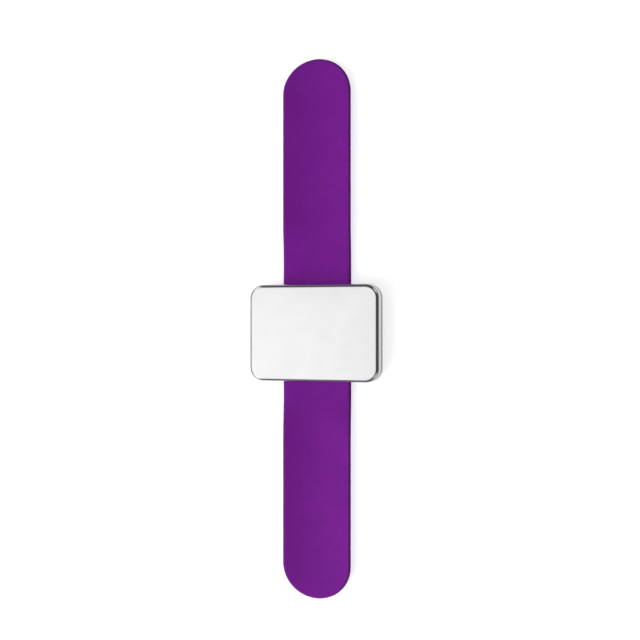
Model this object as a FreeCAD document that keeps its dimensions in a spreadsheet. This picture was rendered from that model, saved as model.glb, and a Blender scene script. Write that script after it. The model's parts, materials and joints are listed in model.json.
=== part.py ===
import FreeCAD, Part
import math
import os
import sys

import Sketcher

# Magnetic wrist pin holder: a magnet case that slides on a silicone slap band.
# Frame: millimetres, +Z up out of the pin face, +Y along the band, +X across it.
# The origin is the centre of the bounding box's underside, with the band lying flat.

Vector = FreeCAD.Vector

DIMENSIONS = [
    # The band: a silicone sleeve with one bistable spring strip inside.
    ("band_length", "232"),
    ("band_width", "30"),
    ("band_thickness", "2.4"),
    ("band_underside", "0.8"),
    ("strip_width", "24"),
    ("strip_gauge", "0.2"),
    ("strip_end_margin", "7"),
    ("strip_end_gap", "0.25"),
    ("strip_corner", "4"),
    ("slot_clearance", "0.05"),
    # How the band is divided where it bends. Steps and the bevel relief are in degrees.
    ("flat_length", "31"),
    ("joint_gap", "0.06"),
    ("bevel_relief", "1"),
    ("curl_step", "20"),
    ("under_pitch", "6.4"),
    ("over_pitch", "7.2"),
    ("under_tail_pitch", "21"),
    ("over_tail_pitch", "16"),
    ("under_tail_step", "12"),
    ("over_tail_step", "4"),
    # The case: outline, levels and sheet gauge.
    ("case_length", "57"),
    ("case_width", "41.5"),
    ("case_height", "9"),
    ("case_corner", "6"),
    ("case_offset", "-1.7"),
    ("sheet_gauge", "0.5"),
    ("tray_underside", "0.6"),
    ("seam_level", "4.1"),
    ("seam_gap", "0.1"),
    ("neck_clearance", "0.1"),
    ("neck_height", "2.4"),
    ("cover_edge_radius", "1.6"),
    ("tray_edge_radius", "0.9"),
    ("channel_side_gap", "0.8"),
    ("channel_roof", "3.4"),
    # The keeper bar and its rivets.
    ("keeper_length", "45"),
    ("keeper_width", "14"),
    ("keeper_corner", "3"),
    ("rivet_spacing_long", "39"),
    ("rivet_spacing_short", "8"),
    ("rivet_radius", "1"),
    ("rivet_head_radius", "1.8"),
    ("rivet_head_height", "0.6"),
    ("rivet_crown_radius", "0.48"),
    ("rivet_foot_depth", "0.45"),
    ("rivet_clearance", "0.02"),
    ("rivet_well_gap", "0.3"),
    # What the case holds.
    ("carrier_clearance", "0.2"),
    ("carrier_wall", "1.5"),
    ("carrier_floor", "0.8"),
    ("carrier_side_gap", "0.2"),
    ("back_iron_gauge", "0.8"),
    ("magnet_height", "3"),
    ("magnet_gap", "0.6"),
    ("magnet_chamfer", "0.5"),
    ("bay_clearance", "0.2"),
    ("bay_corner", "0.5"),
    ("iron_corner", "1"),
    ("tape_inset", "0.5"),
    ("tape_corner", "2"),
    ("tape_gauge", "0.5"),
]

# Joints in each half that bend by the full curl step. One on each side of them bends by
# half of it, so that the curl runs into the flat middle and the tail, and one more is in the tail.
FULL_JOINTS = 8

doc = FreeCAD.newDocument("WristPinHolder")
sheet = doc.addObject("Spreadsheet::Sheet", "Dims")
for row, (alias, number) in enumerate(DIMENSIONS, start=1):
    sheet.set("A%d" % row, alias)
    sheet.set("B%d" % row, number)
    sheet.setAlias("B%d" % row, alias)
doc.recompute()

# Lengths that several pieces share, as expressions on the sheet.
HALF_BAND = "Dims.band_width / 2"
HALF_THICKNESS = "Dims.band_thickness / 2"
MID_PLANE = "(Dims.band_underside + Dims.band_thickness / 2)"
HALF_GAP = "Dims.joint_gap / 2"
FULL_STEP = "Dims.curl_step"
HALF_STEP = "Dims.curl_step / 2"
HALF_X = "Dims.case_length / 2"
HALF_Y = "Dims.case_width / 2"
INNER_X = "(Dims.case_length / 2 - Dims.sheet_gauge)"
INNER_Y = "(Dims.case_width / 2 - Dims.sheet_gauge)"
INNER_CORNER = "(Dims.case_corner - Dims.sheet_gauge)"
NECK_X = "(Dims.case_length / 2 - Dims.sheet_gauge - Dims.neck_clearance)"
NECK_Y = "(Dims.case_width / 2 - Dims.sheet_gauge - Dims.neck_clearance)"
NECK_CORNER = "(Dims.case_corner - Dims.sheet_gauge - Dims.neck_clearance)"
FLOOR_TOP = "(Dims.tray_underside + Dims.sheet_gauge)"
COVER_BOTTOM = "(Dims.seam_level + Dims.seam_gap)"
CARRIER_INSET = "(Dims.sheet_gauge + Dims.carrier_clearance)"
CARRIER_X = "(%s - %s)" % (NECK_X, CARRIER_INSET)
CARRIER_Y = "(%s - %s)" % (NECK_Y, CARRIER_INSET)
BAY_X = "(%s - Dims.carrier_wall)" % CARRIER_X
BAY_Y = "(%s - Dims.carrier_wall)" % CARRIER_Y
BAY_FLOOR = "(Dims.channel_roof + Dims.carrier_floor)"
IRON_TOP = "(%s + Dims.back_iron_gauge)" % BAY_FLOOR
MAGNET_TOP = "(%s + Dims.magnet_height)" % IRON_TOP
# How far a through cut is drawn past the material.
OVERSHOOT = "2"

# Two positions closer than this, in millimetres, are the same place.
TOLERANCE = 1e-4


def size(expression):
    """The present value of an expression on the sheet."""
    return float(sheet.evalExpression(expression))


def new_body(label, y="0", z="0", turned=False):
    """A body whose own origin sits at (0, y, z), facing along -Y when turned."""
    body = doc.addObject("PartDesign::Body", label)
    body.Label = label
    turn = 180 if turned else 0
    body.Placement = FreeCAD.Placement(Vector(0, 0, 0), FreeCAD.Rotation(Vector(0, 0, 1), turn))
    body.setExpression("Placement.Base.y", y)
    body.setExpression("Placement.Base.z", z)
    return body


def new_sketch(body, role, name, level=None):
    """A sketch on one of the body's origin planes, lifted to a level along its normal."""
    plane = [item for item in body.Origin.OriginFeatures if item.Role == role][0]
    sketch = body.newObject("Sketcher::SketchObject", name)
    sketch.AttachmentSupport = [(plane, "")]
    sketch.MapMode = "FlatFace"
    if level is not None:
        sketch.setExpression("AttachmentOffset.Base.z", level)
    return sketch


def pin_point(sketch, item, point, corner):
    """Hold one point of a sketch item at a pair of expressions."""
    for kind, expression in zip(("DistanceX", "DistanceY"), corner):
        rule = Sketcher.Constraint(kind, -1, 1, item, point, size(expression))
        sketch.setExpression("Constraints[%d]" % sketch.addConstraint(rule), expression)


def draw_polygon(sketch, corners):
    """A closed outline of straight lines through corners given as expressions."""
    points = [Vector(size(across), size(along), 0) for across, along in corners]
    count = len(points)
    first = sketch.GeometryCount
    for index in range(count):
        sketch.addGeometry(Part.LineSegment(points[index], points[(index + 1) % count]), False)
    for index in range(count):
        following = first + (index + 1) % count
        sketch.addConstraint(Sketcher.Constraint("Coincident", first + index, 2, following, 1))
    for index, corner in enumerate(corners):
        pin_point(sketch, first + index, 1, corner)


def draw_rectangle(sketch, low_x, low_y, high_x, high_y):
    """A rectangle between two opposite corners given as expressions."""
    corners = [(low_x, low_y), (high_x, low_y), (high_x, high_y), (low_x, high_y)]
    draw_polygon(sketch, corners)


def draw_rounded_rectangle(sketch, half_x, half_y, corner):
    """A rectangle about the origin whose four corners are tangent arcs."""
    across = size(half_x)
    along = size(half_y)
    radius = size(corner)
    quarter = math.pi / 2
    axis = Vector(0, 0, 1)
    centres = [(1, -1), (1, 1), (-1, 1), (-1, -1)]
    for index, (side_x, side_y) in enumerate(centres):
        centre = Vector(side_x * (across - radius), side_y * (along - radius), 0)
        start = (index - 1) * quarter
        before = centre + Vector(math.cos(start), math.sin(start), 0) * radius
        last_x, last_y = centres[index - 1]
        last_centre = Vector(last_x * (across - radius), last_y * (along - radius), 0)
        after = last_centre + Vector(math.cos(start), math.sin(start), 0) * radius
        sketch.addGeometry(Part.LineSegment(after, before), False)
        circle = Part.Circle(centre, axis, radius)
        sketch.addGeometry(Part.ArcOfCircle(circle, start, start + quarter), False)
    for index in range(8):
        sketch.addConstraint(Sketcher.Constraint("Tangent", index, 2, (index + 1) % 8, 1))
    for line, kind in ((0, "Horizontal"), (2, "Vertical"), (4, "Horizontal"), (6, "Vertical")):
        sketch.addConstraint(Sketcher.Constraint(kind, line))
    for arc in (3, 5, 7):
        sketch.addConstraint(Sketcher.Constraint("Equal", 1, arc))
    rule = sketch.addConstraint(Sketcher.Constraint("Radius", 1, radius))
    sketch.setExpression("Constraints[%d]" % rule, corner)
    sides = [
        ("DistanceY", 0, "-" + half_y),
        ("DistanceX", 2, half_x),
        ("DistanceY", 4, half_y),
        ("DistanceX", 6, "-" + half_x),
    ]
    for kind, line, expression in sides:
        rule = Sketcher.Constraint(kind, -1, 1, line, 1, size(expression))
        sketch.setExpression("Constraints[%d]" % sketch.addConstraint(rule), expression)


def draw_circle(sketch, centre_x, centre_y, radius):
    """A circle whose centre and radius are expressions."""
    centre = Vector(size(centre_x), size(centre_y), 0)
    item = sketch.addGeometry(Part.Circle(centre, Vector(0, 0, 1), size(radius)), False)
    rule = sketch.addConstraint(Sketcher.Constraint("Radius", item, size(radius)))
    sketch.setExpression("Constraints[%d]" % rule, radius)
    pin_point(sketch, item, 3, (centre_x, centre_y))


def add_pad(body, sketch, length, centred=False, downward=False):
    """Extrude a sketch by a length, both ways from its plane when centred."""
    pad = body.newObject("PartDesign::Pad", sketch.Name + "Pad")
    pad.Profile = sketch
    pad.setExpression("Length", length)
    pad.SideType = "Symmetric" if centred else "One side"
    pad.Reversed = downward
    doc.recompute()
    return pad


def add_pocket(body, sketch, length, centred=False, upward=False):
    """Cut a sketch into the body, and stop if the cut removes nothing."""
    before = body.Shape.Volume
    pocket = body.newObject("PartDesign::Pocket", sketch.Name + "Cut")
    pocket.Profile = sketch
    pocket.setExpression("Length", length)
    pocket.SideType = "Symmetric" if centred else "One side"
    pocket.Reversed = upward
    doc.recompute()
    if body.Shape.Volume > before - TOLERANCE:
        sys.exit("%s: the pocket %s cuts nothing" % (body.Label, pocket.Name))
    return pocket


def edges_where(feature, test):
    """Names of the feature's edges that pass a test."""
    names = []
    for index, edge in enumerate(feature.Shape.Edges, start=1):
        if test(edge):
            names.append("Edge%d" % index)
    return names


def lies_at(level):
    """A test for edges at one height."""
    def test(edge):
        box = edge.BoundBox
        return abs(box.ZMin - level) < TOLERANCE and abs(box.ZMax - level) < TOLERANCE
    return test


def stands_upright(edge):
    """True for a straight vertical edge."""
    box = edge.BoundBox
    return box.ZLength > TOLERANCE and box.XLength < TOLERANCE and box.YLength < TOLERANCE


def add_edge_feature(body, kind, base, edges, size_name, expression):
    """Round or chamfer some edges of the body's last feature."""
    feature = body.newObject("PartDesign::" + kind, body.Name + kind + str(len(body.Group)))
    feature.Base = (base, edges)
    feature.setExpression(size_name, expression)
    doc.recompute()
    return feature


# ---------------------------------------------------------------- the band

def bevel(step):
    """How far a bevel runs back at the band's underside beside a joint that bends by step."""
    return "(Dims.band_thickness / 2 * tan(%s / 2 + Dims.bevel_relief))" % step


def cut_strip_slot(body, low_y, high_y):
    """The flat cavity on the mid-plane that the spring strip lies in."""
    slot = new_sketch(body, "XY_Plane", body.Name + "Slot")
    half = "(Dims.strip_width / 2 + Dims.slot_clearance)"
    draw_rectangle(slot, "-" + half, low_y, half, high_y)
    add_pocket(body, slot, "Dims.strip_gauge + 2 * Dims.slot_clearance", centred=True)


def make_link(label, length, near_step, far_step, start, turned):
    """A straight length of sleeve, bevelled below its mid-plane at both joints."""
    body = new_body(label, start, MID_PLANE, turned)
    side = new_sketch(body, "YZ_Plane", label + "Side")
    near = HALF_GAP
    far = "(%s - %s)" % (length, HALF_GAP)
    corners = [
        (near, HALF_THICKNESS),
        (near, "0"),
        ("%s + %s" % (near, bevel(near_step)), "-" + HALF_THICKNESS),
        ("%s - %s" % (far, bevel(far_step)), "-" + HALF_THICKNESS),
        (far, "0"),
        (far, HALF_THICKNESS),
    ]
    draw_polygon(side, corners)
    add_pad(body, side, "Dims.band_width", centred=True)
    cut_strip_slot(body, "-" + OVERSHOOT, "%s + %s" % (length, OVERSHOOT))
    return body


def make_tip(label, length, near_step, start, turned):
    """The last length of sleeve, with a full-radius end and a closed slot."""
    body = new_body(label, start, MID_PLANE, turned)
    plan = new_sketch(body, "XY_Plane", label + "Plan")
    straight = "(%s - %s)" % (length, HALF_BAND)
    half = size(HALF_BAND)
    near = size(HALF_GAP)
    reach = size(straight)
    plan.addGeometry(Part.LineSegment(Vector(-half, near, 0), Vector(half, near, 0)), False)
    plan.addGeometry(Part.LineSegment(Vector(half, near, 0), Vector(half, reach, 0)), False)
    end = Part.Circle(Vector(0, reach, 0), Vector(0, 0, 1), half)
    plan.addGeometry(Part.ArcOfCircle(end, 0, math.pi), False)
    plan.addGeometry(Part.LineSegment(Vector(-half, reach, 0), Vector(-half, near, 0)), False)
    plan.addConstraint(Sketcher.Constraint("Coincident", 0, 2, 1, 1))
    plan.addConstraint(Sketcher.Constraint("Tangent", 1, 2, 2, 1))
    plan.addConstraint(Sketcher.Constraint("Tangent", 2, 2, 3, 1))
    plan.addConstraint(Sketcher.Constraint("Coincident", 3, 2, 0, 1))
    pin_point(plan, 0, 1, ("-" + HALF_BAND, HALF_GAP))
    pin_point(plan, 0, 2, (HALF_BAND, HALF_GAP))
    pin_point(plan, 2, 3, ("0", straight))
    add_pad(body, plan, "Dims.band_thickness", centred=True)
    side = new_sketch(body, "YZ_Plane", label + "Side")
    deep = "-2 * " + HALF_THICKNESS
    corners = [
        ("-" + OVERSHOOT, "0"),
        (HALF_GAP, "0"),
        ("%s + 2 * %s" % (HALF_GAP, bevel(near_step)), deep),
        ("-" + OVERSHOOT, deep),
    ]
    draw_polygon(side, corners)
    add_pocket(body, side, "Dims.band_width + 2 * " + OVERSHOOT, centred=True)
    cut_strip_slot(body, "-" + OVERSHOOT, "%s - Dims.strip_end_margin" % length)
    return body


def make_strip(label, length, start, turned, last):
    """The stretch of spring strip inside one length of sleeve."""
    body = new_body(label, start, MID_PLANE, turned)
    plan = new_sketch(body, "XY_Plane", label + "Plan")
    half = "Dims.strip_width / 2"
    margin = "(Dims.strip_end_margin + Dims.slot_clearance)" if last else "Dims.strip_end_gap"
    draw_rectangle(plan, "-" + half, "Dims.strip_end_gap", half, "%s - %s" % (length, margin))
    pad = add_pad(body, plan, "Dims.strip_gauge", centred=True)
    if last:
        far = size("%s - %s" % (length, margin))
        corners = edges_where(
            pad, lambda edge: stands_upright(edge) and edge.BoundBox.YMin > far - TOLERANCE)
        add_edge_feature(body, "Fillet", pad, corners, "Radius", "Dims.strip_corner")
    return body


def make_half(name, pitch, tail_pitch, tail_step, turned):
    """One half of the band: a chain of lengths from the flat middle out to the tip."""
    pieces = []
    lengths = [pitch] * (FULL_JOINTS + 1) + [tail_pitch]
    steps = [HALF_STEP] + [FULL_STEP] * FULL_JOINTS + [HALF_STEP, tail_step]
    sign = "-" if turned else ""
    reached = "Dims.flat_length / 2"
    for index, length in enumerate(lengths):
        number = "%02d" % (index + 1)
        start = sign + "(" + reached + ")"
        near = steps[index]
        far = steps[index + 1]
        pieces.append(make_link(name + "_sleeve_" + number, length, near, far, start, turned))
        pieces.append(make_strip(name + "_strip_" + number, length, start, turned, False))
        reached = reached + " + " + length
    number = "%02d" % (len(lengths) + 1)
    start = sign + "(" + reached + ")"
    length = "(Dims.band_length / 2 - (%s))" % reached
    pieces.append(make_tip(name + "_sleeve_" + number, length, steps[-1], start, turned))
    pieces.append(make_strip(name + "_strip_" + number, length, start, turned, True))
    return pieces


def make_band():
    """The flat middle that stays inside the case, and the two halves that curl."""
    start = "-Dims.flat_length / 2"
    pieces = [
        make_link("centre_sleeve", "Dims.flat_length", HALF_STEP, HALF_STEP, start, False),
        make_strip("centre_strip", "Dims.flat_length", start, False, False),
    ]
    pieces += make_half("under", "Dims.under_pitch", "Dims.under_tail_pitch",
                        "Dims.under_tail_step", False)
    pieces += make_half("over", "Dims.over_pitch", "Dims.over_tail_pitch",
                        "Dims.over_tail_step", True)
    return pieces


# ---------------------------------------------------------------- the case

def case_body(label):
    """A body whose origin is under the centre of the case."""
    return new_body(label, "Dims.case_offset")


def rivet_places():
    """The four rivet centres, as pairs of expressions."""
    places = []
    for side_x in ("", "-"):
        for side_y in ("", "-"):
            across = side_x + "Dims.rivet_spacing_long / 2"
            along = side_y + "Dims.rivet_spacing_short / 2"
            places.append((across, along))
    return places


def make_cover():
    """The pressed steel top shell, whose flat top is the pin face."""
    body = case_body("case_cover")
    outline = new_sketch(body, "XY_Plane", "CoverOutline", COVER_BOTTOM)
    draw_rounded_rectangle(outline, HALF_X, HALF_Y, "Dims.case_corner")
    pad = add_pad(body, outline, "Dims.case_height - " + COVER_BOTTOM)
    rim = edges_where(pad, lies_at(size("Dims.case_height")))
    add_edge_feature(body, "Fillet", pad, rim, "Radius", "Dims.cover_edge_radius")
    cavity = new_sketch(body, "XY_Plane", "CoverCavity", COVER_BOTTOM)
    draw_rounded_rectangle(cavity, INNER_X, INNER_Y, INNER_CORNER)
    depth = "Dims.case_height - Dims.sheet_gauge - " + COVER_BOTTOM
    pocket = add_pocket(body, cavity, depth, upward=True)
    inner = edges_where(pocket, lies_at(size("Dims.case_height - Dims.sheet_gauge")))
    add_edge_feature(body, "Fillet", pocket, inner, "Radius",
                     "Dims.cover_edge_radius - Dims.sheet_gauge")
    return body


def make_tray():
    """The lower shell: a neck that the cover slips over, and a channel for the band."""
    body = case_body("case_tray")
    outline = new_sketch(body, "XY_Plane", "TrayOutline", "Dims.tray_underside")
    draw_rounded_rectangle(outline, HALF_X, HALF_Y, "Dims.case_corner")
    pad = add_pad(body, outline, "Dims.seam_level - Dims.tray_underside")
    rim = edges_where(pad, lies_at(size("Dims.tray_underside")))
    add_edge_feature(body, "Fillet", pad, rim, "Radius", "Dims.tray_edge_radius")
    neck = new_sketch(body, "XY_Plane", "TrayNeck", "Dims.seam_level")
    draw_rounded_rectangle(neck, NECK_X, NECK_Y, NECK_CORNER)
    add_pad(body, neck, "Dims.neck_height")
    cavity = new_sketch(body, "XY_Plane", "TrayCavity", FLOOR_TOP)
    draw_rounded_rectangle(cavity, INNER_X, INNER_Y, INNER_CORNER)
    height = "Dims.seam_level - Dims.sheet_gauge - " + FLOOR_TOP
    add_pocket(body, cavity, height, upward=True)
    mouth = new_sketch(body, "XY_Plane", "TrayMouth", FLOOR_TOP)
    gauge = "Dims.sheet_gauge"
    draw_rounded_rectangle(mouth, "(%s - %s)" % (NECK_X, gauge), "(%s - %s)" % (NECK_Y, gauge),
                           "(%s - %s)" % (NECK_CORNER, gauge))
    add_pocket(body, mouth, "Dims.seam_level + Dims.neck_height + " + OVERSHOOT, upward=True)
    channel = new_sketch(body, "XY_Plane", "TrayChannel", "Dims.channel_roof")
    half = "(Dims.band_width / 2 + Dims.channel_side_gap)"
    reach = "(Dims.case_width / 2 + %s)" % OVERSHOOT
    draw_rectangle(channel, "-" + half, "-" + reach, half, reach)
    add_pocket(body, channel, "Dims.channel_roof + " + OVERSHOOT)
    holes = new_sketch(body, "XY_Plane", "TrayHoles", FLOOR_TOP)
    for across, along in rivet_places():
        draw_circle(holes, across, along, "Dims.rivet_radius + Dims.rivet_clearance")
    add_pocket(body, holes, "Dims.sheet_gauge + Dims.tray_underside")
    return body


def make_keeper():
    """The bar under the case that holds it on the band."""
    body = case_body("strap_keeper")
    outline = new_sketch(body, "XY_Plane", "KeeperOutline")
    draw_rounded_rectangle(outline, "Dims.keeper_length / 2", "Dims.keeper_width / 2",
                           "Dims.keeper_corner")
    add_pad(body, outline, "Dims.tray_underside")
    holes = new_sketch(body, "XY_Plane", "KeeperHoles", "Dims.tray_underside")
    for across, along in rivet_places():
        draw_circle(holes, across, along, "Dims.rivet_radius + Dims.rivet_clearance")
    pocket = add_pocket(body, holes, "Dims.tray_underside + " + OVERSHOOT)
    sinks = edges_where(pocket, lambda edge: lies_at(0)(edge) and edge.isClosed())
    add_edge_feature(body, "Chamfer", pocket, sinks, "Size", "Dims.rivet_foot_depth")
    return body


def make_rivets():
    """Four rivets, flush under the keeper and headed inside the tray."""
    body = case_body("keeper_rivets")
    body.AllowCompound = True
    plane = [item for item in body.Origin.OriginFeatures if item.Role == "XY_Plane"][0]
    radius = "Dims.rivet_radius"
    foot = "Dims.rivet_radius + Dims.rivet_foot_depth"
    for index, (across, along) in enumerate(rivet_places()):
        shapes = [
            ("Cylinder", "Shank", "0", {"Radius": radius, "Height": FLOOR_TOP}),
            ("Cone", "Foot", "0", {"Radius1": foot, "Radius2": radius,
                                   "Height": "Dims.rivet_foot_depth"}),
            ("Cylinder", "Head", FLOOR_TOP, {"Radius": "Dims.rivet_head_radius",
                                             "Height": "Dims.rivet_head_height"}),
        ]
        for kind, name, level, sizes in shapes:
            solid = body.newObject("PartDesign::Additive" + kind, "Rivet%s%d" % (name, index))
            solid.AttachmentSupport = [(plane, "")]
            solid.MapMode = "FlatFace"
            solid.setExpression("AttachmentOffset.Base.x", across)
            solid.setExpression("AttachmentOffset.Base.y", along)
            solid.setExpression("AttachmentOffset.Base.z", level)
            for size_name, expression in sizes.items():
                solid.setExpression(size_name, expression)
            doc.recompute()
    crown = size(FLOOR_TOP + " + Dims.rivet_head_height")
    edges = edges_where(solid, lies_at(crown))
    add_edge_feature(body, "Fillet", solid, edges, "Radius", "Dims.rivet_crown_radius")
    return body


def make_carrier():
    """The plastic frame: band channel below, magnet bay above."""
    body = case_body("magnet_carrier")
    corner = "(%s - %s)" % (NECK_CORNER, CARRIER_INSET)
    outline = new_sketch(body, "XY_Plane", "CarrierOutline", FLOOR_TOP)
    draw_rounded_rectangle(outline, CARRIER_X, CARRIER_Y, corner)
    add_pad(body, outline, "%s - %s" % (MAGNET_TOP, FLOOR_TOP))
    bay = new_sketch(body, "XY_Plane", "CarrierBay", BAY_FLOOR)
    draw_rounded_rectangle(bay, BAY_X, BAY_Y, "Dims.bay_corner")
    add_pocket(body, bay, "%s - %s + %s" % (MAGNET_TOP, BAY_FLOOR, OVERSHOOT), upward=True)
    channel = new_sketch(body, "XY_Plane", "CarrierChannel", "Dims.channel_roof")
    half = "(Dims.band_width / 2 + Dims.channel_side_gap + Dims.carrier_side_gap)"
    reach = "(Dims.case_width / 2 + %s)" % OVERSHOOT
    draw_rectangle(channel, "-" + half, "-" + reach, half, reach)
    add_pocket(body, channel, "Dims.channel_roof")
    wells = new_sketch(body, "XY_Plane", "CarrierWells", FLOOR_TOP)
    for across, along in rivet_places():
        draw_circle(wells, across, along, "Dims.rivet_head_radius + Dims.rivet_well_gap")
    add_pocket(body, wells, "Dims.rivet_head_height + Dims.rivet_well_gap", upward=True)
    return body


def make_back_iron():
    """The mild steel plate that closes the field behind both magnets."""
    body = case_body("back_iron")
    outline = new_sketch(body, "XY_Plane", "IronOutline", BAY_FLOOR)
    draw_rounded_rectangle(outline, "(%s - Dims.bay_clearance)" % BAY_X,
                           "(%s - Dims.bay_clearance)" % BAY_Y, "Dims.iron_corner")
    add_pad(body, outline, "Dims.back_iron_gauge")
    return body


def make_magnet(label, side):
    """One ferrite block, chamfered all round at its two large faces."""
    body = case_body(label)
    outline = new_sketch(body, "XY_Plane", label + "Outline", IRON_TOP)
    near = "%sDims.magnet_gap / 2" % side
    far = "%s(%s - Dims.bay_clearance)" % (side, BAY_X)
    half = "(%s - Dims.bay_clearance)" % BAY_Y
    low, high = (near, far) if side == "" else (far, near)
    draw_rectangle(outline, low, "-" + half, high, half)
    pad = add_pad(body, outline, "Dims.magnet_height")
    edges = edges_where(pad, lambda edge: not stands_upright(edge))
    add_edge_feature(body, "Chamfer", pad, edges, "Size", "Dims.magnet_chamfer")
    return body


def make_tape():
    """The foam tape that bonds the magnets to the underside of the cover."""
    body = case_body("adhesive_pad")
    outline = new_sketch(body, "XY_Plane", "TapeOutline", MAGNET_TOP)
    draw_rounded_rectangle(outline, "(%s - Dims.tape_inset)" % BAY_X,
                           "(%s - Dims.tape_inset)" % BAY_Y, "Dims.tape_corner")
    add_pad(body, outline, "Dims.tape_gauge")
    return body


def make_case():
    """Everything that slides along the band together."""
    return [
        make_cover(),
        make_tray(),
        make_keeper(),
        make_rivets(),
        make_carrier(),
        make_back_iron(),
        make_magnet("magnet_left", "-"),
        make_magnet("magnet_right", ""),
        make_tape(),
    ]


def check_document(pieces):
    """Stop if any feature failed or any piece has no valid solid."""
    for item in doc.Objects:
        if "Invalid" in item.State or "Error" in item.State:
            sys.exit("%s failed: %s" % (item.Label, item.State))
    for piece in pieces:
        if piece.Shape.isNull() or not piece.Shape.isValid():
            sys.exit("%s has no valid shape" % piece.Label)


sub_parts = make_band() + make_case()
doc.recompute()
check_document(sub_parts)
os.makedirs("parts", exist_ok=True)
for sub_part in sub_parts:
    sub_part.Shape.exportStep("parts/%s.step" % sub_part.Label)
print("%d sub-parts written" % len(sub_parts))
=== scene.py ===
import json
import math

import bpy
import bmesh
from mathutils import Matrix, Vector


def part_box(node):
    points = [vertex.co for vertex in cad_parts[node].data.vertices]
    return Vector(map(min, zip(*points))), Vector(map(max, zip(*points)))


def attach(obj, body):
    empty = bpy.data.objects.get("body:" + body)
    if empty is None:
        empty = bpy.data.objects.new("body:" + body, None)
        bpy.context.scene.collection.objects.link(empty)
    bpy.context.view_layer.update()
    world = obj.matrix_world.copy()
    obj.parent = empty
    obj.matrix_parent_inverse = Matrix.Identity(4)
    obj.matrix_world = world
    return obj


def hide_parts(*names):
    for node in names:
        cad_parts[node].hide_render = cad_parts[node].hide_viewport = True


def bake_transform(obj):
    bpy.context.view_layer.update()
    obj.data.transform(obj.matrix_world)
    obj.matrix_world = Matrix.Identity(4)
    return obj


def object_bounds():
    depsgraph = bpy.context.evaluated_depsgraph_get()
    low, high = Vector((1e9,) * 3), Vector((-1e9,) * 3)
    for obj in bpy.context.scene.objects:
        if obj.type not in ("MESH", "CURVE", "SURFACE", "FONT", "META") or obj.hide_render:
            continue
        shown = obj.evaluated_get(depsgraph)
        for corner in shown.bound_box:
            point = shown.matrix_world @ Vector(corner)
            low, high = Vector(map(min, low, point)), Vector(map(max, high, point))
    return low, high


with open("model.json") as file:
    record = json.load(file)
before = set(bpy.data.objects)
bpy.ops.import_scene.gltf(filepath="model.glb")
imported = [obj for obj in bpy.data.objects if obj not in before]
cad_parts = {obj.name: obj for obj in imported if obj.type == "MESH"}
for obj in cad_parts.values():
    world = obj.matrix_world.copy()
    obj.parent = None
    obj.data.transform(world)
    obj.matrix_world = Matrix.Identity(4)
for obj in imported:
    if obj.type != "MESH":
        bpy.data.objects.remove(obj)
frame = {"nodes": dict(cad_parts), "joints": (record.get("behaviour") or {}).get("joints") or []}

# Magnetic wrist pin holder: a steel-faced magnet case on a silicone slap band.
# Shapes are worked out in millimetres in the row frame, and put into Blender in metres.

CAD_LOW, CAD_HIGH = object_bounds()
MM = 0.001
SAME_PLACE = 1e-7


def low_high(node):
    """A CAD node's box in millimetres."""
    low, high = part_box(node)
    return low / MM, high / MM


# ---------------------------------------------------------------- node helpers

class Tree:
    """A small wrapper that makes and links shader nodes."""

    def __init__(self, owner):
        owner.use_nodes = True
        self.nodes = owner.node_tree.nodes
        self.links = owner.node_tree.links
        self.nodes.clear()

    def add(self, kind, **settings):
        """Make a shader node and set its properties."""
        node = self.nodes.new("ShaderNode" + kind)
        for name, value in settings.items():
            setattr(node, name, value)
        return node

    def feed(self, socket, source):
        """Link an output to a socket, or write a plain value into it."""
        if isinstance(source, bpy.types.NodeSocket):
            self.links.new(source, socket)
        else:
            socket.default_value = source

    def rest_place(self):
        """Where the surface point was at rest, in metres. A pattern stays put as the band bends."""
        return self.add("Attribute", attribute_name="rest_place").outputs["Vector"]

    def object_place(self):
        """Where the surface point is on its own object, in metres."""
        return self.add("TexCoord").outputs["Object"]

    def stretch(self, place, scale, turn=0.0):
        """Scale a place along each axis, after a turn about Z in degrees."""
        node = self.add("Mapping")
        self.feed(node.inputs["Vector"], place)
        node.inputs["Scale"].default_value = scale
        node.inputs["Rotation"].default_value = (0.0, 0.0, math.radians(turn))
        return node.outputs["Vector"]

    def noise(self, place, scale, detail=2.0, roughness=0.5, distortion=0.0):
        node = self.add("TexNoise")
        self.feed(node.inputs["Vector"], place)
        node.inputs["Scale"].default_value = scale
        node.inputs["Detail"].default_value = detail
        node.inputs["Roughness"].default_value = roughness
        node.inputs["Distortion"].default_value = distortion
        return node.outputs["Fac"]

    def spread(self, value, given, wanted):
        """Map one range onto another, clamped. A range may run downwards."""
        node = self.add("MapRange")
        self.feed(node.inputs["Value"], value)
        node.inputs["From Min"].default_value, node.inputs["From Max"].default_value = given
        node.inputs["To Min"].default_value, node.inputs["To Max"].default_value = wanted
        return node.outputs["Result"]

    def blend_colours(self, share, first, second):
        """Mix two colours. The Mix node's colour sockets are numbers 6 and 7, and 2 among its outputs."""
        node = self.add("Mix", data_type="RGBA")
        self.feed(node.inputs[0], share)
        self.feed(node.inputs[6], first)
        self.feed(node.inputs[7], second)
        return node.outputs[2]

    def combine(self, first, second, operation):
        node = self.add("Math", operation=operation)
        self.feed(node.inputs[0], first)
        self.feed(node.inputs[1], second)
        return node.outputs[0]

    def bump(self, height, distance, strength, under=None):
        """Add relief, its distance in metres, on top of the relief already there."""
        node = self.add("Bump")
        self.feed(node.inputs["Height"], height)
        node.inputs["Distance"].default_value = distance
        node.inputs["Strength"].default_value = strength
        if under is not None:
            self.feed(node.inputs["Normal"], under)
        return node.outputs["Normal"]


def new_material(name):
    """An empty material with a Principled shader, and what is needed to fill it in."""
    material = bpy.data.materials.new(name)
    tree = Tree(material)
    shader = tree.add("BsdfPrincipled")
    output = tree.add("OutputMaterial")
    tree.links.new(shader.outputs["BSDF"], output.inputs["Surface"])
    return material, tree, shader


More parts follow.
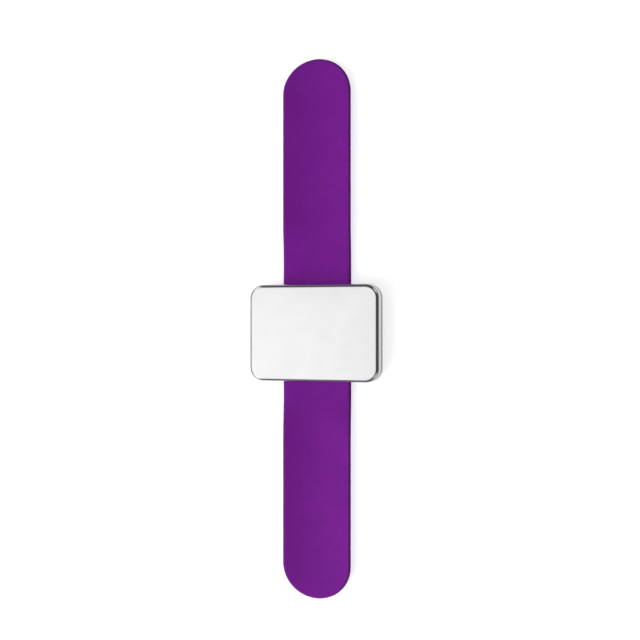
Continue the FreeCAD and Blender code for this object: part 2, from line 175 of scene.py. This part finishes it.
NOISE_MIDDLE = (0.3, 0.7)   # where nearly all of a noise texture's values lie
SHARE = (0.0, 1.0)
FADE = (1.0, 0.0)


def silicone():
    """Moulded silicone: deep purple, satin, with a fine grain and faint clouding."""
    material, tree, shader = new_material("purple_silicone")
    place = tree.rest_place()
    clouds = tree.noise(place, scale=45.0, detail=3.0, roughness=0.55)
    mottle = tree.noise(place, scale=420.0, detail=4.0, roughness=0.6)
    tone = tree.combine(clouds, mottle, "MULTIPLY")
    share = tree.spread(tone, (0.12, 0.40), SHARE)
    colour = tree.blend_colours(share, (0.108, 0.0050, 0.166, 1.0), (0.130, 0.0070, 0.196, 1.0))
    tree.feed(shader.inputs["Base Color"], colour)
    haze = tree.noise(place, scale=90.0, detail=5.0, roughness=0.65)
    tree.feed(shader.inputs["Roughness"], tree.spread(haze, NOISE_MIDDLE, (0.44, 0.56)))
    shader.inputs["Specular IOR Level"].default_value = 0.15
    shader.inputs["Sheen Weight"].default_value = 0.03
    shader.inputs["Sheen Roughness"].default_value = 0.45
    shader.inputs["Sheen Tint"].default_value = (0.80, 0.55, 0.95, 1.0)
    swell = tree.noise(place, scale=28.0, detail=2.0, roughness=0.5)
    grain = tree.noise(place, scale=3600.0, detail=2.0, roughness=0.6)
    pores = tree.noise(place, scale=1100.0, detail=3.0, roughness=0.55)
    normal = tree.bump(swell, distance=0.00035, strength=0.25)
    normal = tree.bump(pores, distance=0.00004, strength=0.30, under=normal)
    normal = tree.bump(grain, distance=0.00002, strength=0.45, under=normal)
    tree.feed(shader.inputs["Normal"], normal)
    return material


def scratches(tree, place, turn, fineness):
    """Sparse hairline scratches that run one way: 1 on a scratch and 0 off it."""
    stretched = tree.stretch(place, (35.0, fineness, 35.0), turn)
    lines = tree.noise(stretched, scale=1.0, detail=3.0, roughness=0.55, distortion=0.15)
    return tree.spread(lines, (0.66, 0.70), SHARE)


SCRATCH_SETS = ((24.0, 2600.0), (-37.0, 3100.0), (78.0, 2900.0), (141.0, 3400.0))
GRAIN_SCALES = {"x": (60.0, 5200.0, 900.0), "y": (5200.0, 60.0, 900.0)}


def worn_steel(name, tone, roughness, grain_strength, grain_axis):
    """Satin sheet steel: faint brushing along one axis, handling haze and pin scratches."""
    material, tree, shader = new_material(name)
    place = tree.object_place()
    brushing = tree.noise(tree.stretch(place, GRAIN_SCALES[grain_axis]),
                          scale=1.0, detail=4.0, roughness=0.6)
    haze = tree.noise(place, scale=55.0, detail=5.0, roughness=0.62, distortion=0.4)
    worn = scratches(tree, place, *SCRATCH_SETS[0])
    for turn, fineness in SCRATCH_SETS[1:]:
        worn = tree.combine(worn, scratches(tree, place, turn, fineness), "MAXIMUM")
    clean = (tone, tone, tone * 1.005, 1.0)
    dull = (tone * 0.965, tone * 0.965, tone * 0.972, 1.0)
    colour = tree.blend_colours(tree.spread(haze, NOISE_MIDDLE, SHARE), clean, dull)
    tree.feed(shader.inputs["Base Color"], colour)
    shader.inputs["Metallic"].default_value = 1.0
    rough = tree.spread(haze, NOISE_MIDDLE, (roughness - 0.03, roughness + 0.05))
    rough = tree.combine(rough, tree.combine(brushing, 0.05, "MULTIPLY"), "ADD")
    rough = tree.combine(rough, tree.combine(worn, 0.06, "MULTIPLY"), "ADD")
    tree.feed(shader.inputs["Roughness"], rough)
    normal = tree.bump(brushing, distance=0.000012, strength=grain_strength)
    normal = tree.bump(worn, distance=0.000006, strength=0.35, under=normal)
    tree.feed(shader.inputs["Normal"], normal)
    return material


def black_plastic():
    """Moulded black plastic with a spark-eroded grain."""
    material, tree, shader = new_material("black_plastic")
    place = tree.object_place()
    grain = tree.noise(place, scale=2400.0, detail=3.0, roughness=0.6)
    flow = tree.noise(place, scale=60.0, detail=3.0, roughness=0.5)
    colour = tree.blend_colours(flow, (0.014, 0.014, 0.015, 1.0), (0.028, 0.028, 0.030, 1.0))
    tree.feed(shader.inputs["Base Color"], colour)
    tree.feed(shader.inputs["Roughness"], tree.spread(grain, NOISE_MIDDLE, (0.48, 0.66)))
    tree.feed(shader.inputs["Normal"], tree.bump(grain, distance=0.00003, strength=0.5))
    return material


def ferrite():
    """Sintered ferrite: dark grey, matte and slightly granular."""
    material, tree, shader = new_material("ferrite")
    place = tree.object_place()
    grain = tree.noise(place, scale=1800.0, detail=4.0, roughness=0.7)
    colour = tree.blend_colours(grain, (0.030, 0.030, 0.034, 1.0), (0.075, 0.075, 0.080, 1.0))
    tree.feed(shader.inputs["Base Color"], colour)
    shader.inputs["Metallic"].default_value = 0.35
    tree.feed(shader.inputs["Roughness"], tree.spread(grain, NOISE_MIDDLE, (0.55, 0.80)))
    tree.feed(shader.inputs["Normal"], tree.bump(grain, distance=0.00004, strength=0.5))
    return material


def foam_tape():
    """White foam tape with open cells."""
    material, tree, shader = new_material("foam_tape")
    place = tree.object_place()
    cells = tree.noise(place, scale=3000.0, detail=3.0, roughness=0.7)
    colour = tree.blend_colours(cells, (0.62, 0.61, 0.58, 1.0), (0.82, 0.81, 0.78, 1.0))
    tree.feed(shader.inputs["Base Color"], colour)
    tree.feed(shader.inputs["Roughness"], tree.spread(cells, NOISE_MIDDLE, (0.75, 0.95)))
    tree.feed(shader.inputs["Normal"], tree.bump(cells, distance=0.00005, strength=0.6))
    return material


MATERIALS = {
    "silicone": silicone(),
    "satin_steel": worn_steel("satin_steel", 0.93, 0.13, 0.05, "x"),
    # the tray's tone sits far below the cover's: partly a duller steel, partly painted shade standing in
    # for the shaded floor its lower wall reflects
    "tray_steel_painted_shade": worn_steel("tray_steel_painted_shade", 0.43, 0.27, 0.12, "x"),
    "spring_steel": worn_steel("spring_steel", 0.55, 0.30, 0.30, "y"),
    "mild_steel": worn_steel("mild_steel", 0.50, 0.42, 0.40, "x"),
    "black_plastic": black_plastic(),
    "ferrite": ferrite(),
    "foam_tape": foam_tape(),
}


# ---------------------------------------------------------------- mesh helpers

def finish_mesh(name, mesh, record_slot):
    """Face everything outwards, keep the rest places for the material, and make the object."""
    bmesh.ops.recalc_face_normals(mesh, faces=mesh.faces[:])
    # without this the renderer averages a flat face's normal with its smooth neighbours'
    for face in mesh.faces:
        if not face.smooth:
            for edge in face.edges:
                edge.smooth = False
    data = bpy.data.meshes.new(name)
    mesh.to_mesh(data)
    mesh.free()
    rest = data.attributes.new("rest_place", "FLOAT_VECTOR", "POINT")
    places = [0.0] * (3 * len(data.vertices))
    data.vertices.foreach_get("co", places)
    rest.data.foreach_set("vector", places)
    data.materials.append(MATERIALS[record_slot])
    piece = bpy.data.objects.new(name, data)
    bpy.context.scene.collection.objects.link(piece)
    return piece


def bridge(mesh, first, second, smooth=True):
    """Quads between two closed rings with the same number of vertices."""
    count = len(first)
    for index in range(count):
        after = (index + 1) % count
        face = mesh.faces.new((first[index], first[after], second[after], second[index]))
        face.smooth = smooth


# ---------------------------------------------------------------- the band

BAND_LOW, BAND_HIGH = low_high("centre_sleeve")
HALF_WIDTH = BAND_HIGH.x
BAND_BOTTOM = BAND_LOW.z
BAND_REACH = CAD_HIGH.y / MM
STRIP_HALF = low_high("centre_strip")[1].x

BAND_THICKNESS = 2.10
STRIP_STEP = 0.04           # how far the strip's edge tells through the silicone
STRIP_STEP_START = 0.6      # the step begins this far inside the strip's edge
STRIP_STEP_WIDTH = 1.4
TOP_RADIUS = 0.98
UNDER_RADIUS = 0.80
PARTING_RIDGE = 0.05
PARTING_HALF_HEIGHT = 0.06
TONGUE_LENGTH = 0.35
TONGUE_INSET = 0.04

CLAMPED_TROUGH = 0.25       # depth of the hollow that the case can reach
FREE_TROUGH = 1.10          # depth of the hollow past TROUGH_END
TROUGH_START = 29.0
TROUGH_END = 47.0

ROW_LENGTH = 0.55
FLAT_STEPS = 15
TOP_ARC_STEPS = 8
UNDER_ARC_STEPS = 7
TIP_STEPS = 44

MARK_RADIUS = 0.62
MARK_TUBE = 0.11
MARK_SUNK = 0.05
MARK_SPACING = 3.1
MARK_FROM_END = 7.6
MARK_ROW_BOW = 0.35         # the outer marks stand this much nearer the middle of the band
MARK_STEPS = 24
MARK_TUBE_STEPS = 8


def smooth_step(value):
    """0 below 0, 1 above 1, and an even ease between them."""
    value = min(1.0, max(0.0, value))
    return value * value * (3 - 2 * value)


def trough(across, along):
    """How far the section is lifted: a straight slap band is hollow across its outer face.

    The part that can be inside the case is held nearly flat.
    """
    free = smooth_step((abs(along) - TROUGH_START) / (TROUGH_END - TROUGH_START))
    depth = CLAMPED_TROUGH + (FREE_TROUGH - CLAMPED_TROUGH) * free
    share = across / HALF_WIDTH
    return depth * share * share


def top_level(across):
    """Height of the outer face before the trough: the strip's edges just tell through it."""
    strip = 1 - smooth_step((across - STRIP_HALF + STRIP_STEP_START) / STRIP_STEP_WIDTH)
    return BAND_BOTTOM + BAND_THICKNESS - STRIP_STEP + STRIP_STEP * strip


def half_section():
    """Points (distance from the centre line, height) round one half of the section."""
    points = []
    flat = HALF_WIDTH - TOP_RADIUS
    for index in range(FLAT_STEPS):
        across = flat * index / FLAT_STEPS
        points.append((across, top_level(across)))
    centre = top_level(flat) - TOP_RADIUS
    for index in range(TOP_ARC_STEPS + 1):
        angle = math.radians(90 - 90 * index / TOP_ARC_STEPS)
        points.append((flat + TOP_RADIUS * math.cos(angle), centre + TOP_RADIUS * math.sin(angle)))
    lower_flat = HALF_WIDTH - UNDER_RADIUS
    lower_centre = BAND_BOTTOM + UNDER_RADIUS
    middle = (centre + lower_centre) / 2
    points.append((HALF_WIDTH, middle + PARTING_HALF_HEIGHT))
    points.append((HALF_WIDTH + PARTING_RIDGE, middle))
    points.append((HALF_WIDTH, middle - PARTING_HALF_HEIGHT))
    for index in range(UNDER_ARC_STEPS + 1):
        angle = math.radians(-90 * index / UNDER_ARC_STEPS)
        points.append((lower_flat + UNDER_RADIUS * math.cos(angle),
                       lower_centre + UNDER_RADIUS * math.sin(angle)))
    for index in range(FLAT_STEPS - 1, -1, -1):
        points.append((lower_flat * index / FLAT_STEPS, BAND_BOTTOM))
    return points


SECTION = half_section()


def inset_section(points, inset):
    """The same half section, a little smaller all round."""
    middle = BAND_BOTTOM + BAND_THICKNESS / 2
    shrunk = []
    for across, level in points:
        share = (HALF_WIDTH - inset) / HALF_WIDTH
        height = (BAND_THICKNESS - 2 * inset) / BAND_THICKNESS
        shrunk.append((across * share, middle + (level - middle) * height))
    return shrunk


INSET_SECTION = inset_section(SECTION, TONGUE_INSET)


def section_ring(mesh, along, section):
    """A closed ring of vertices across the band: right half down, then left half up."""
    left = [(-across, level) for across, level in reversed(section[1:-1])]
    return [mesh.verts.new((across * MM, along * MM, (level + trough(across, along)) * MM))
            for across, level in section + left]


def straight_rows(mesh, start, end):
    """Rings from start to end along the band, bridged with smooth faces."""
    count = max(2, math.ceil(abs(end - start) / ROW_LENGTH))
    rings = []
    for index in range(count + 1):
        rings.append(section_ring(mesh, start + (end - start) * index / count, SECTION))
        if index:
            bridge(mesh, rings[-2], rings[-1])
    return rings


def band_piece(name, start, end):
    """One length of sleeve. Past its far end a tongue runs under the next length's skin."""
    mesh = bmesh.new()
    rings = straight_rows(mesh, start, end)
    mesh.faces.new(rings[0]).smooth = False
    way = 1 if end > start else -1
    root = section_ring(mesh, end, INSET_SECTION)
    bridge(mesh, rings[-1], root, smooth=False)
    tongue = section_ring(mesh, end + way * TONGUE_LENGTH, INSET_SECTION)
    bridge(mesh, root, tongue)
    mesh.faces.new(tongue).smooth = False
    return finish_mesh(name, mesh, "silicone")


def mould_mark(mesh, across, along, way):
    """A raised ring left by an ejector pin, half sunk in the outer face."""
    level = top_level(0) + trough(across, along) - MARK_SUNK
    rings = []
    for index in range(MARK_STEPS):
        turn = 2 * math.pi * index / MARK_STEPS
        ring = []
        for step in range(MARK_TUBE_STEPS):
            angle = 2 * math.pi * step / MARK_TUBE_STEPS
            reach = MARK_RADIUS + MARK_TUBE * math.cos(angle)
            ring.append(mesh.verts.new((
                (across + reach * math.cos(turn)) * MM,
                way * (along + reach * math.sin(turn)) * MM,
                (level + MARK_TUBE * math.sin(angle)) * MM)))
        rings.append(ring)
    for index in range(MARK_STEPS):
        bridge(mesh, rings[index], rings[(index + 1) % MARK_STEPS])


def tip_piece(name, start, way):
    """The end of the band: straight to the tip's centre, then turned half round it."""
    mesh = bmesh.new()
    centre = way * (BAND_REACH - HALF_WIDTH)
    rings = straight_rows(mesh, start, centre)
    mesh.faces.new(rings[0]).smooth = False
    fans = []
    for step in range(TIP_STEPS + 1):
        turn = math.pi * step / TIP_STEPS
        fan = []
        for across, level in SECTION:
            x = across * math.cos(turn)
            y = centre + way * across * math.sin(turn)
            fan.append(mesh.verts.new((x * MM, y * MM, (level + trough(x, y)) * MM)))
        fans.append(fan)
    for first, second in zip(fans, fans[1:]):
        for index in range(len(SECTION) - 1):
            corners = [first[index], first[index + 1], second[index + 1], second[index]]
            if index == 0:
                corners = [first[0], first[1], second[1]]
            elif index == len(SECTION) - 2:
                corners = [first[index], first[index + 1], second[index]]
            mesh.faces.new(corners).smooth = True
    bmesh.ops.remove_doubles(mesh, verts=mesh.verts[:], dist=SAME_PLACE)
    for column in (-1, 0, 1):
        along = BAND_REACH - MARK_FROM_END - MARK_ROW_BOW * abs(column)
        mould_mark(mesh, column * MARK_SPACING, along, way)
    return finish_mesh(name, mesh, "silicone")


def half_joints(half):
    """Distance of each of a half's hinges from the middle of the band, in order."""
    places = []
    for joint in frame["joints"]:
        if joint["name"].startswith(half + "_curl"):
            places.append(abs(joint["pos_m"][1]) / MM)
    return places


def make_half(half, way):
    """All the lengths of sleeve on one side of the band's middle."""
    hinges = half_joints(half)
    count = len(hinges)
    start = 0.0
    for index, hinge in enumerate(hinges):
        name = "%s_band_%02d" % (half, index + 1)
        if index == count - 1:
            piece = tip_piece(name, way * start, way)
        else:
            end = (hinge + hinges[index + 1]) / 2
            piece = band_piece(name, way * start, way * end)
            start = end
        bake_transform(piece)
        nodes = ["%s_sleeve_%02d" % (half, index + 1)]
        if half == "under" and index == 0:
            nodes.append("centre_sleeve")
        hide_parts(*nodes)


make_half("under", 1)
make_half("over", -1)


# ---------------------------------------------------------------- the case

COVER_LOW, COVER_HIGH = low_high("case_cover")
CASE_X = COVER_HIGH.x
CASE_Y = (COVER_HIGH.y - COVER_LOW.y) / 2
CASE_CENTRE = (COVER_HIGH.y + COVER_LOW.y) / 2
CASE_CORNER = 6.0
LEAST_CORNER = 0.4
CORNERS = ((1, -1, -90), (1, 1, 0), (-1, 1, 90), (-1, -1, 180))     # X side, Y side, arc's start
CORNER_STEPS = 18
SIDE_STEPS = 10

SHEET = 0.5
COVER_EDGE = 1.60           # radius of the pressed edge, outside
COVER_INNER_EDGE = 0.7      # and inside
EDGE_SUNK = 0.05            # the edge ends this far below the face's middle
FACE_PILLOW = ((0.45, 0.045), (1.6, 0.03), (4.0, 0.012), (8.0, 0.003), (12.0, 0.0))
HEM_RADIUS = 0.10
HEM_LEVEL = 0.34            # this and the next are above the cover's lower rim
SKIRT_LEVELS = (0.75, 1.6)
SKIRT_INSET = HEM_RADIUS * 1.2
RIM_INSET = 0.12


def outline_ring(mesh, inset, level):
    """A rounded rectangle round the case's centre, drawn in by an inset."""
    half_x = CASE_X - inset
    half_y = CASE_Y - inset
    corner = max(LEAST_CORNER, CASE_CORNER - inset)

    def on_corner(side_x, side_y, degrees):
        centre = Vector((side_x * (half_x - corner), side_y * (half_y - corner)))
        angle = math.radians(degrees)
        return centre + Vector((math.cos(angle), math.sin(angle))) * corner

    points = []
    for index, (side_x, side_y, start) in enumerate(CORNERS):
        for step in range(CORNER_STEPS + 1):
            points.append(on_corner(side_x, side_y, start + 90 * step / CORNER_STEPS))
        last = points[-1]
        target = on_corner(*CORNERS[(index + 1) % len(CORNERS)])
        for step in range(1, SIDE_STEPS):
            points.append(last.lerp(target, step / SIDE_STEPS))
    return [mesh.verts.new((p.x * MM, (CASE_CENTRE + p.y) * MM, level * MM)) for p in points]


def loft(mesh, rings):
    """Bridge a run of (inset, level) outlines, and give back the first and last ring."""
    made = [outline_ring(mesh, inset, level) for inset, level in rings]
    for first, second in zip(made, made[1:]):
        bridge(mesh, first, second)
    return made[0], made[-1]


def arc(inset, level, radius, start, end, steps):
    """Points (inset, level) on an arc about one such point, from and to angles in degrees."""
    points = []
    for index in range(steps + 1):
        angle = math.radians(start + (end - start) * index / steps)
        points.append((inset - radius * math.cos(angle), level + radius * math.sin(angle)))
    return points


def case_cover():
    """The pressed cover: a very slightly pillowed face, a tight edge, and a hemmed skirt."""
    mesh = bmesh.new()
    top = COVER_HIGH.z
    bottom = COVER_LOW.z
    edge_top = top - EDGE_SUNK

    outer = [(HEM_RADIUS * 0.6, bottom + SHEET * 0.35)]
    outer += arc(HEM_RADIUS, bottom + HEM_LEVEL, HEM_RADIUS, -60, 60, 4)
    outer += [(SKIRT_INSET, bottom + level) for level in SKIRT_LEVELS]
    outer += arc(COVER_EDGE + SKIRT_INSET, edge_top - COVER_EDGE, COVER_EDGE, 0, 90, 14)
    outer += [(COVER_EDGE + inwards, top - depth) for inwards, depth in FACE_PILLOW]
    outer_first, outer_last = loft(mesh, outer)
    mesh.faces.new(outer_last).smooth = True

    inner = [(SHEET, bottom + 0.1), (SHEET, top - SHEET - COVER_INNER_EDGE)]
    inner += arc(SHEET + COVER_INNER_EDGE, edge_top - SHEET - COVER_INNER_EDGE,
                 COVER_INNER_EDGE, 0, 90, 8)
    inner_first, inner_last = loft(mesh, inner)
    mesh.faces.new(inner_last).smooth = False

    rim = outline_ring(mesh, RIM_INSET, bottom)
    inner_rim = outline_ring(mesh, SHEET - RIM_INSET / 2, bottom)
    bridge(mesh, outer_first, rim)
    bridge(mesh, rim, inner_rim)
    bridge(mesh, inner_rim, inner_first)
    piece = finish_mesh("case_cover_shell", mesh, "satin_steel")
    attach(piece, "case")
    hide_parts("case_cover")


# ---------------------------------------------------------------- floor and CAD nodes

FLOOR_RADIUS = 6.0
FLOOR_DROP = 0.00005        # keeps the floor out of the faces that stand on it


def floor_disc():
    """The pale studio floor."""
    material, tree, shader = new_material("studio_floor")
    place = tree.object_place()
    cloud = tree.noise(place, scale=2.0, detail=2.0, roughness=0.5)
    colour = tree.blend_colours(cloud, (0.94, 0.94, 0.94, 1.0), (0.97, 0.97, 0.97, 1.0))
    tree.feed(shader.inputs["Base Color"], colour)
    shader.inputs["Roughness"].default_value = 0.9
    shader.inputs["Specular IOR Level"].default_value = 0.1
    mesh = bmesh.new()
    bmesh.ops.create_circle(mesh, cap_ends=True, segments=96, radius=FLOOR_RADIUS)
    data = bpy.data.meshes.new("studio_floor")
    mesh.to_mesh(data)
    mesh.free()
    data.materials.append(material)
    floor = bpy.data.objects.new("studio_floor", data)
    floor.location.z = -FLOOR_DROP
    floor.visible_glossy = False
    bpy.context.scene.collection.objects.link(floor)


def dress_cad_nodes():
    """Give each CAD node that stays its detailed material."""
    looks = {
        "case_tray": "tray_steel_painted_shade",
        "strap_keeper": "satin_steel",
        "keeper_rivets": "tray_steel_painted_shade",
        "magnet_carrier": "black_plastic",
        "back_iron": "mild_steel",
        "magnet_left": "ferrite",
        "magnet_right": "ferrite",
        "adhesive_pad": "foam_tape",
    }
    for name, node in frame["nodes"].items():
        look = looks.get(name) or ("spring_steel" if "strip" in name else "silicone")
        for slot in node.material_slots:
            slot.material = MATERIALS[look]


# ---------------------------------------------------------------- light and camera

PANEL_WAY = Vector((-0.45, -0.20, 0.87)).normalized()
KEY_WAY = (-0.68, -0.50, 0.42)
BACKDROP = 0.90


def light_tent(tree, direction):
    """How bright the tent is in a direction, as the steel sees it.

    A broad panel hangs overhead to one side. Another covers the left-hand side, four stand
    upright half way between the axes, and the dim wall grows brighter below the horizon.
    """
    split = tree.add("SeparateXYZ")
    tree.feed(split.inputs[0], direction)
    x, y, z = split.outputs["X"], split.outputs["Y"], split.outputs["Z"]

    nearness = panel_nearness(tree, direction)
    panel = tree.spread(nearness, (0.68, 0.87), (0.03, 0.76))
    panel_middle = tree.spread(nearness, (0.85, 1.0), (0.0, 0.30))
    side = tree.spread(x, (-0.34, -0.66), (0.0, 0.55))
    side = tree.combine(side, tree.spread(z, (0.22, 0.34), SHARE), "MULTIPLY")
    overhead = tree.combine(tree.combine(panel, panel_middle, "ADD"), side, "MAXIMUM")

    # |xy| / (x^2 + y^2) is largest half way between the axes
    corner = tree.add("Math", operation="ABSOLUTE")
    tree.feed(corner.inputs[0], tree.combine(x, y, "MULTIPLY"))
    reach = tree.combine(tree.combine(x, x, "MULTIPLY"), tree.combine(y, y, "MULTIPLY"), "ADD")
    never_zero = tree.combine(reach, 0.001, "ADD")
    diagonal = tree.combine(corner.outputs[0], never_zero, "DIVIDE")
    upright = tree.spread(diagonal, (0.40, 0.475), (0.0, 0.65))
    upright = tree.combine(upright, tree.spread(z, (0.02, 0.14), SHARE), "MULTIPLY")
    upright = tree.combine(upright, tree.spread(z, (0.60, 0.72), FADE), "MULTIPLY")

    wall = tree.spread(z, (-0.30, -0.95), (0.17, 0.74))
    wall = tree.combine(wall, tree.spread(z, (0.20, 0.30), FADE), "MULTIPLY")
    return tree.combine(overhead, tree.combine(upright, wall, "ADD"), "ADD")


def panel_nearness(tree, direction):
    """The cosine of the angle between a direction and the overhead panel's middle."""
    towards = tree.add("VectorMath", operation="DOT_PRODUCT")
    tree.feed(towards.inputs[0], direction)
    towards.inputs[1].default_value = PANEL_WAY
    return towards.outputs["Value"]


def glow(tree, brightness):
    """A background of one brightness, or of an output's."""
    node = tree.add("Background")
    tree.feed(node.inputs["Color"], brightness)
    return node.outputs[0]


def choose(tree, switch, off, on):
    """One shader where a Light Path output is 0, and another where it is 1."""
    node = tree.add("MixShader")
    tree.feed(node.inputs[0], switch)
    tree.feed(node.inputs[1], off)
    tree.feed(node.inputs[2], on)
    return node.outputs[0]


def studio_world():
    """Reflections see the light tent, surfaces are lit evenly, and the camera sees a backdrop."""
    world = bpy.data.worlds.new("studio")
    bpy.context.scene.world = world
    tree = Tree(world)
    output = tree.add("OutputWorld")
    direction = tree.add("TexCoord").outputs["Generated"]
    rays = tree.add("LightPath")
    tent = glow(tree, light_tent(tree, direction))
    even = glow(tree, tree.spread(panel_nearness(tree, direction), (-0.2, 1.0), (0.14, 0.50)))
    backdrop = glow(tree, (BACKDROP, BACKDROP, BACKDROP, 1.0))
    lighting = choose(tree, rays.outputs["Is Glossy Ray"], even, tent)
    everything = choose(tree, rays.outputs["Is Camera Ray"], lighting, backdrop)
    tree.feed(output.inputs["Surface"], everything)


def face_origin(name, data, way):
    """Make a lamp that faces the origin from one side. The steel reflects the tent, not the lamp."""
    lamp = bpy.data.objects.new(name, data)
    lamp.rotation_mode = "QUATERNION"
    lamp.rotation_quaternion = (-Vector(way)).to_track_quat("-Z", "Y")
    lamp.visible_glossy = False
    bpy.context.scene.collection.objects.link(lamp)
    return lamp


def even_light(name, way, strength):
    """Light that is as strong all over the floor, and throws no shadow of its own."""
    data = bpy.data.lights.new(name, "SUN")
    data.energy = strength
    data.angle = math.radians(60)
    data.use_shadow = False
    face_origin(name, data, way)


def soft_light(name, place, side, watts):
    """A square soft box."""
    data = bpy.data.lights.new(name, "AREA")
    data.shape = "SQUARE"
    data.size = side
    data.energy = watts
    face_origin(name, data, place).location = place


VIEW_TILT = 15.0
VIEW_DISTANCE = 0.36
FRAME_WIDTH = 0.2751
AIM = Vector((0.00130, 0.0038, 0.002))


def place_camera():
    """Nearly straight down, tilted towards the right-hand side, with the band upright in the frame."""
    data = bpy.data.cameras.new("camera")
    data.sensor_width = 36.0
    data.lens = data.sensor_width * VIEW_DISTANCE / FRAME_WIDTH
    data.clip_start = 0.01
    data.clip_end = 50.0
    camera = bpy.data.objects.new("camera", data)
    tilt = math.radians(VIEW_TILT)
    back = Vector((math.sin(tilt), 0.0, math.cos(tilt)))
    right = Vector((math.cos(tilt), 0.0, -math.sin(tilt)))
    up = Vector((0.0, 1.0, 0.0))
    turn = Matrix((right, up, back)).transposed()
    camera.matrix_world = Matrix.Translation(AIM + back * VIEW_DISTANCE) @ turn.to_4x4()
    bpy.context.scene.collection.objects.link(camera)
    bpy.context.scene.camera = camera


case_cover()
dress_cad_nodes()
floor_disc()
studio_world()
soft_light("key_box", KEY_WAY, side=0.8, watts=4.0)
even_light("fill", KEY_WAY, strength=5.4)
place_camera()
bpy.context.scene.view_settings.view_transform = "Standard"
